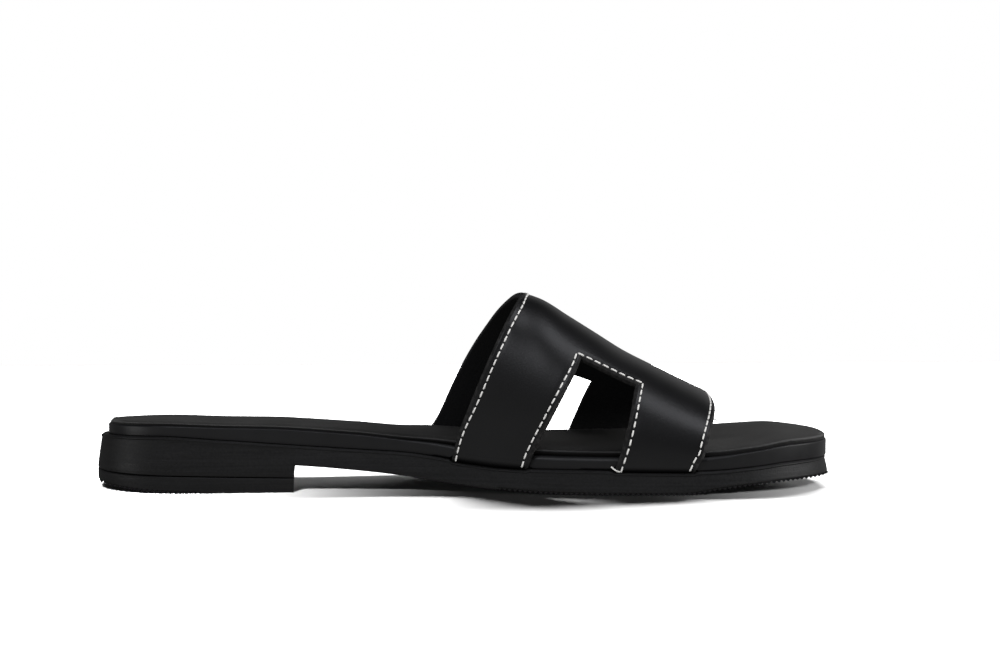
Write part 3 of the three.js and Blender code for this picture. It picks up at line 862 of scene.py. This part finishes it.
def shell(name, inner_face, outer_face, filled, raw, materials, inner_slot):
    """A closed sheet between two faces on one grid. Its second material is for the cut edges, and for
    each cell of its outer face that has two or more raw corners."""
    edge_slot = 1
    rows, width = inner_face.shape[:2]
    shift = rows * width
    faces, slots = [], []

    def quad(a, b, c, d, slot):
        faces.append((a, b, c, d))
        slots.append(slot)

    padded_cells = np.pad(filled, 1)
    for i in range(rows - 1):
        for j in range(width - 1):
            if not filled[i, j]:
                continue
            a, b = i * width + j, i * width + j + 1
            c, d = b + width, a + width
            quad(d, c, b, a, inner_slot)
            is_raw = raw[i:i + 2, j:j + 2].sum() >= 2
            quad(a + shift, b + shift, c + shift, d + shift, edge_slot if is_raw else 0)
            beyond = {(0, 1): (b, a), (2, 1): (d, c), (1, 0): (a, d), (1, 2): (c, b)}
            for (down, right), (start, end) in beyond.items():
                if not padded_cells[i + down, j + right]:
                    quad(start + shift, end + shift, end, start, edge_slot)
    points = np.concatenate([inner_face.reshape(-1, 3), outer_face.reshape(-1, 3)])
    used = np.zeros(len(points), bool)
    used[np.array(faces).ravel()] = True
    renumber = np.cumsum(used) - 1
    faces = [tuple(renumber[list(f)]) for f in faces]
    mesh = bpy.data.meshes.new(name)
    mesh.from_pydata(points[used].tolist(), [], faces)
    for material in materials:
        mesh.materials.append(material)
    mesh.polygons.foreach_set("material_index", slots)
    mesh.shade_smooth()
    mesh.set_sharp_from_angle(angle=math.radians(40))
    return add_object(name, mesh)


def make_calf():
    material, surface, place = shader("box_calf", Specular_IOR_Level=0.5)
    pores = cells(place, 2600)
    fine = noise(place, 1500, 3, 0.6)
    broad = noise(place, 70, 3)
    height = pores * 0.35 + fine * 0.4 + broad * 1.5
    tone = broad.between(0.3, 0.7)
    colour = tone.mix((0.0052, 0.0052, 0.0058, 1), (0.0078, 0.0078, 0.0086, 1))
    feed(surface, Base_Color=colour, Roughness=0.34 + 0.08 * fine, Normal=bump(height, 0.05 * MM, 0.7))
    return material


def make_raw_edge():
    material, surface, place = shader("raw_edge", Specular_IOR_Level=0.3)
    fibres = noise(place, 3000, 4, 0.7)
    patches = noise(place, 500, 2)
    colour = patches.between(0.35, 0.7).mix((0.022, 0.0215, 0.0215, 1), (0.055, 0.053, 0.052, 1))
    feed(surface, Base_Color=colour, Roughness=0.8 + 0.1 * fibres, Normal=bump(fibres, 0.12 * MM))
    return material


def make_lining():
    material, surface, place = shader("lining_leather", Specular_IOR_Level=0.3)
    grain = cells(place, 1300)
    fine = noise(place, 2000, 3)
    colour = fine.mix((0.008, 0.008, 0.0085, 1), (0.013, 0.013, 0.0135, 1))
    feed(surface, Base_Color=colour, Roughness=0.68 + 0.1 * fine, Normal=bump(grain + fine, 0.06 * MM, 0.7))
    return material


inside, outside, filled, window, strap_rows = strap_grid()
from_edge = edge_distance(outside, filled)
bevel = np.clip(1 - from_edge / EDGE_BEVEL, 0, 1)
bevel = EDGE_DROP * (0.35 * bevel + 0.65 * bevel**2)
corner = np.clip(1 - from_edge / LINING_ROUND, 0, 1)
rounding = LINING_ROUND * (1 - np.sqrt(1 - corner**2))
seam = SEAM_DEPTH * np.exp(-(((from_edge - SEAM_INSET) / SEAM_WIDTH) ** 2))
wall = outside - inside
thickness = np.linalg.norm(wall, axis=-1)[..., None]
outward = wall / thickness
leather_face = outside - outward * (bevel + seam)[..., None]
glue_out = inside + wall * (LINING_SHARE + 0.01)
glue_in = inside + wall * LINING_SHARE
lining_face = inside + outward * (rounding * 0.8)[..., None]
in_bevel = from_edge < EDGE_BEVEL - 0.05 * MM
calf, raw_edge, lining = make_calf(), make_raw_edge(), make_lining()
strap_leather = shell("strap_leather", glue_out, leather_face, filled, in_bevel, [calf, raw_edge], 1)
strap_lining = shell("strap_lining", lining_face, glue_in, filled, in_bevel, [raw_edge, raw_edge, lining], 2)
for piece in (strap_leather, strap_lining):
    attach(piece, "root")
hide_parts("upper")

# The topstitching: off-white lock stitches, three millimetres apart, along the back and front edges and
# round three sides of each window. Each stitch is a short thread that dips into its holes.
STITCH_PITCH = 3.0 * MM
THREAD = 0.62 * MM
STITCH_SHARE = 0.78
THREAD_LIFT = 0.1 * MM
TURNED_IN = -0.2 * MM
NEIGHBOUR = 3


def surface_tree():
    mesh = strap_leather.data
    return BVHTree.FromPolygons([v.co for v in mesh.vertices], [p.vertices for p in mesh.polygons])


def beside(spot, towards, behind, ahead, inset):
    """The point at a distance from spot, square to the cut that runs from behind to ahead."""
    along = ahead - behind
    along /= np.linalg.norm(along)
    inward = towards - spot
    inward -= along * inward.dot(along)
    return spot + inward / np.linalg.norm(inward) * inset


def seam_line(rows, column, way, inset, foot_share=1.0):
    """Points a little way in from one of the long cuts. way is 1 where the leather lies ahead of it."""
    points = []
    for i in rows:
        _, turn, fold, _ = strap_rows[i]
        if fold and fold[1][1] < TURNED_IN:
            continue
        share = foot_share + (1 - foot_share) * smooth_step(turn, 0, 0.2)
        share -= 0.7 * (1 - foot_share) * smooth_step(turn, 0.7, 1)
        cut, inner = outside[:, column], outside[:, column + NEIGHBOUR * way]
        behind, ahead = cut[max(i - 1, 0)], cut[min(i + 1, len(cut) - 1)]
        points.append(beside(cut[i], inner[i], behind, ahead, inset * share))
    return points


def window_seam(side):
    """Up the back of a window, along its top and down its front."""
    rows = [i for i, row in enumerate(strap_rows) if row[0] == side]
    open_rows = [i for i in rows if strap_rows[i][3]]
    top_row = max(open_rows, key=lambda i: strap_rows[i][1])
    beyond = top_row - NEIGHBOUR * side
    foot_to_top = sorted(open_rows, key=lambda i: (strap_rows[i][1], i * -side))
    back = seam_line(foot_to_top, window[0], -1, SEAM_INSET)
    front = seam_line(foot_to_top, window[1], 1, SEAM_INSET)
    edge = outside[top_row]
    top = [
        beside(edge[j], outside[beyond, j], edge[j - 1], edge[j + 1], TOP_SEAM_INSET)
        for j in range(window[0], window[1] + 1)
    ]
    # each leg runs on to the level of the top seam, which lies nearer to its edge
    rise_back, rise_front = back[-1] - back[-3], front[-1] - front[-3]
    back_end = back[-1] + rise_back / np.linalg.norm(rise_back) * TOP_SEAM_INSET
    front_end = front[-1] + rise_front / np.linalg.norm(rise_front) * TOP_SEAM_INSET
    return [back + [back_end], [back_end] + top[2:-2] + [front_end], [front_end] + front[::-1]]


def thread_mesh():
    """One stitch of unit length: a round thread, highest in the middle, with its ends turned down."""
    steps, sides = 10, 8
    rings = []
    for i in range(steps + 1):
        t = i / steps
        lift = 0.2 * (1 - (2 * t - 1) ** 4) - 0.1
        size = 0.5 * (1 - 0.45 * abs(2 * t - 1) ** 5)
        for k in range(sides):
            a = 2 * math.pi * k / sides
            rings.append((t - 0.5, size * math.cos(a), lift + size * math.sin(a)))
    piece = make_mesh("thread_pattern", rings, ring_faces(steps + 1, sides, True, True), None, 60)
    piece.hide_render = True
    return piece


def make_thread():
    material, surface, place = shader("waxed_thread", Roughness=0.55, Specular_IOR_Level=0.35)
    fibres = noise(place, 4500, 3, 0.6)
    colour = fibres.mix((0.72, 0.71, 0.68, 1), (0.92, 0.91, 0.88, 1))
    feed(surface, Base_Color=colour, Normal=bump(fibres, 0.15 * MM))
    return material


def stitch_tree(pattern, thread):
    tree = new_tree("lock_stitches", Pitch=STITCH_PITCH, Length=STITCH_PITCH, Width=THREAD, Thread=thread)
    given = tree.nodes.new("NodeGroupInput").outputs
    path = add_node(tree, "GeometryNodeMeshToCurve", None, {"Mesh": given["Geometry"]})
    even = add_node(tree, "GeometryNodeResampleCurve", {"mode": "LENGTH"}, {
        "Curve": path.outputs["Curve"], "Length": given["Pitch"],
    })
    aim = add_node(tree, "FunctionNodeAlignRotationToVector", {"axis": "X"}, {
        "Vector": tree.nodes.new("GeometryNodeInputTangent").outputs["Tangent"],
    })
    lie = add_node(tree, "FunctionNodeAlignRotationToVector", {"axis": "Z", "pivot_axis": "X"}, {
        "Rotation": aim.outputs["Rotation"], "Vector": attribute(tree, "lie", "FLOAT_VECTOR"),
    })
    size = add_node(tree, "ShaderNodeCombineXYZ", None, {
        "X": given["Length"], "Y": given["Width"], "Z": given["Width"],
    })
    shape = add_node(tree, "GeometryNodeObjectInfo", None, {"Object": pattern})
    placed = add_node(tree, "GeometryNodeInstanceOnPoints", None, {
        "Points": even.outputs["Curve"], "Instance": shape.outputs["Geometry"],
        "Rotation": lie.outputs["Rotation"], "Scale": size.outputs[0],
    })
    return end_tree(tree, placed.outputs["Instances"], given["Thread"], smooth=True)


def seam_guide(name, lines, leather):
    """The seam lines, laid on the leather, each with the direction in which its stitches stand."""
    points, edges, normals = [], [], []
    for line in lines:
        first = len(points)
        for point in line:
            spot, normal, _, _ = leather.find_nearest(Vector(point))
            points.append(spot + normal * THREAD_LIFT)
            normals.append(normal)
        edges += [(i, i + 1) for i in range(first, len(points) - 1)]
    return guide_object(name, points, edges, lie=np.array(normals))


def even_line(line):
    """A line cut to whole stitches, with a point every fifth of a stitch."""
    line = np.array(line)
    step = np.linalg.norm(np.diff(line, axis=0), axis=1)
    keep = np.concatenate([[True], step > 1e-6])
    line = line[keep]
    run = np.concatenate([[0], np.cumsum(np.linalg.norm(np.diff(line, axis=0), axis=1))])
    stitches = max(2, round(run[-1] / STITCH_PITCH))
    half = run[-1] / stitches / 2
    at = np.linspace(half, run[-1] - half, (stitches - 1) * 5 + 1)
    return np.stack([np.interp(at, run, line[:, k]) for k in range(3)], -1)


def make_stitches():
    leather = surface_tree()
    rows = range(len(strap_rows))
    back = seam_line(rows, 0, 1, BACK_SEAM_INSET, 0.55)
    front = seam_line(rows, outside.shape[1] - 1, -1, SEAM_INSET)
    lines = [back, front] + window_seam(INNER) + window_seam(OUTER)
    pattern, thread = thread_mesh(), make_thread()
    tree = stitch_tree(pattern, thread)
    guide = seam_guide("seams_guide", [even_line(line) for line in lines], leather)
    piece = grow("topstitching", guide, tree, Pitch=STITCH_PITCH, Length=STITCH_PITCH * STITCH_SHARE,
                 Width=THREAD, Thread=thread)
    bpy.data.objects.remove(pattern)
    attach(piece, "root")
    return piece


topstitching = make_stitches()

# The thread ends: the white thread's melted end at the foot of the inner window's front seam, and a
# dark one that has come loose at the front edge near the crest. Both are short thin curves.


def thread_end(name, start, steps, radius, material):
    """A cut end of thread, as a curve through steps from where it leaves the leather."""
    line = bpy.data.curves.new(name, "CURVE")
    line.dimensions = "3D"
    line.bevel_depth, line.bevel_resolution, line.use_fill_caps = radius, 2, True
    line.materials.append(material)
    spline = line.splines.new("NURBS")
    spline.points.add(len(steps))
    for point, step in zip(spline.points, [(0, 0, 0)] + steps):
        point.co = (*(Vector(start) + Vector(step) * MM), 1)
    spline.use_endpoint_u, spline.order_u = True, 3
    piece = add_object(name, line)
    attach(piece, "root")
    return piece


seam_foot = window_seam(INNER)[2][-1]
foot_thread_end = thread_end(
    "foot_thread_end", seam_foot, [(-0.7, -0.5, 0.1), (-1.9, -0.6, 0.6), (-3.3, -0.1, 1.8)],
    0.3 * MM, bpy.data.materials["waxed_thread"],
)
loose_row = next(i for i, row in enumerate(strap_rows) if row[1] > 0.42)
edge_thread_end = thread_end(
    "edge_thread_end", outside[loose_row, -1], [(0.5, -0.2, -0.1), (1.3, -0.4, -0.7)], 0.16 * MM, lining,
)

# The set: a plain white floor, a white background, the camera at the photograph's angle and lamps that
# each light one part of the picture. The camera's pixel values are places in the photograph's own frame.
PHOTO_WIDTH, PHOTO_HEIGHT = 1000, 667
TARGET_PIXEL = (500.0, 433.5)
PIXELS_PER_METRE = 2826
CAMERA_DISTANCE = 1.3
CAMERA_YAW, CAMERA_PITCH = math.radians(3.0), math.radians(4.3)
TARGET_FROM_BACK, TARGET_HEIGHT = 141.55 * MM, 17.4 * MM
SENSOR = 36.0
FLOOR_HALF = 0.5
WHITE, COOL = (1, 1, 1), (0.93, 0.94, 1)


def make_camera():
    view = Vector((math.sin(CAMERA_YAW) * math.cos(CAMERA_PITCH),
                   math.cos(CAMERA_YAW) * math.cos(CAMERA_PITCH), -math.sin(CAMERA_PITCH)))
    right = Vector((math.cos(CAMERA_YAW), -math.sin(CAMERA_YAW), 0))
    up = right.cross(view)
    target = Vector((HEEL_BACK + TARGET_FROM_BACK, 0, TARGET_HEIGHT))
    across = (TARGET_PIXEL[0] - PHOTO_WIDTH / 2) / PIXELS_PER_METRE
    down = (TARGET_PIXEL[1] - PHOTO_HEIGHT / 2) / PIXELS_PER_METRE
    place = target - across * right + down * up - CAMERA_DISTANCE * view
    lens = bpy.data.cameras.new("camera")
    lens.sensor_width = SENSOR
    lens.lens = PIXELS_PER_METRE * CAMERA_DISTANCE / PHOTO_WIDTH * SENSOR
    lens.clip_start, lens.clip_end = 0.05, 50
    camera = add_object("camera", lens)
    camera.matrix_world = Matrix.Translation(place) @ Matrix((right, up, -view)).transposed().to_4x4()
    bpy.context.scene.camera = camera


def area_light(name, place, aim, size, power, colour, in_gloss, spread):
    lamp = bpy.data.lights.new(name, "AREA")
    lamp.shape = "RECTANGLE"
    lamp.size, lamp.size_y = size
    lamp.energy = power
    lamp.color = colour
    lamp.spread = math.radians(spread)
    light = add_object(name, lamp)
    light.visible_glossy = in_gloss
    light.visible_camera = False
    light.location = place
    light.rotation_euler = (Vector(aim) - Vector(place)).to_track_quat("-Z", "Y").to_euler()
    return light


def make_floor():
    corners = [(x * FLOOR_HALF, y * FLOOR_HALF, 0) for x, y in ((-1, -1), (1, -1), (1, 1), (-1, 1))]
    grey = (0.5, 0.5, 0.5, 1)
    material, _, _ = shader("white_floor", Base_Color=grey, Roughness=0.9, Specular_IOR_Level=0.1)
    floor = make_mesh("floor", corners, [(0, 1, 2, 3)], material)
    floor.visible_glossy = floor.visible_diffuse = False
    return floor


def make_world():
    """White to the camera. To the shoe it is a low band of light behind, another before, and dark above."""
    world = bpy.data.worlds.new("studio")
    world.use_nodes = True
    tree = world.node_tree
    place = Value(tree, tree.nodes.new("ShaderNodeTexCoord").outputs["Generated"])
    toeward, depth, height = (
        place.node("ShaderNodeSeparateXYZ", None, {"Vector": place}, output) for output in range(3)
    )
    behind = depth.between(0.1, 0.7) * (1.0 - height.between(0.3, 0.6)) * 0.3
    before = (depth * -1.0).between(0.1, 0.8) * (1.0 - height.between(0.0, 0.38)) * 0.29
    behind = behind * (0.3 + 0.7 * toeward.between(-0.4, 0.4))
    glow = behind + before + 0.025
    seen = Value(tree, tree.nodes.new("ShaderNodeLightPath").outputs["Is Camera Ray"])
    light = place.node("ShaderNodeCombineColor", None, {"Red": glow, "Green": glow, "Blue": glow})
    colour = seen.mix(light, (1, 1, 1, 1))
    tree.links.new(colour.socket, tree.nodes["Background"].inputs["Color"])
    bpy.context.scene.world = world


def light_group(name, pieces, in_gloss, lamps):
    """Area lights that light these pieces and nothing else. Each has its place, the spot it is aimed at,
    its size, its power in watts, and a colour and a spread in degrees where they aren't plain."""
    group = bpy.data.collections.new(name)
    for piece in pieces:
        group.objects.link(piece)
    for lamp, (place, aim, size, power, *rest) in lamps.items():
        colour, spread = rest or (WHITE, 180)
        light = area_light(lamp, place, aim, size, power, colour, in_gloss, spread)
        light.light_linking.receiver_collection = group


make_camera()
floor = make_floor()
make_world()
slide = [sole_unit, top_lift_plate, forefoot_ribs, heel_ribs, wrapped_platform, padded_insole]
slide += [strap_leather, strap_lining, topstitching, foot_thread_end, edge_thread_end]
light_group("slide_boxes", slide, True, {
    "left_box": ((-0.22, -0.78, 0.88), (0.1, 0, 0.05), (0.4, 0.3), 2.2, COOL, 180),
    "right_box": ((0.6, -0.27, 1.1), (0.12, 0, 0.05), (0.6, 0.5), 2.5, COOL, 180),
    "toe_glow": ((0.8, -0.15, 0.28), (0.19, 0, 0), (0.4, 0.3), 2.2),
    "heel_glow": ((-0.8, -0.25, 0.1), (-0.04, 0, 0.01), (0.3, 0.2), 1),
})
light_group("slide_back", slide, False, {
    "back_glow": ((0.6, 0.9, 0.2), (0.12, 0, 0), (1.1, 0.35), 3),
})
light_group("insole_only", [padded_insole], False, {
    "toe_top": ((0.6, 0.1, 0.38), (0.19, 0, 0), (0.3, 0.3), 10),
    "heel_top": ((-0.5, 0.15, 0.5), (0.05, 0, 0), (0.3, 0.3), 6.5),
})
light_group("floor_only", [floor], False, {
    "floor_box": ((0.22, 0.95, 0.9), (0.12, -0.04, 0), (1.2, 0.3), 112),
    "floor_low": ((0.65, 1.1, 0.2), (0.12, -0.04, 0), (1.1, 0.12), 22),
    "heel_fill": ((-0.1, -0.32, 0.24), (-0.045, -0.055, 0), (0.1, 0.1), 0.32, WHITE, 22),
    "toe_fill": ((0.3, -0.3, 0.12), (0.225, -0.03, 0), (0.1, 0.1), 0.05, WHITE, 14),
})
light_group("thread_only", [topstitching, foot_thread_end], False, {
    "thread_fill": ((0.15, -0.8, 0.5), (0.12, 0, 0.03), (0.4, 0.3), 5),
})
bpy.context.scene.view_settings.view_transform = "Standard"
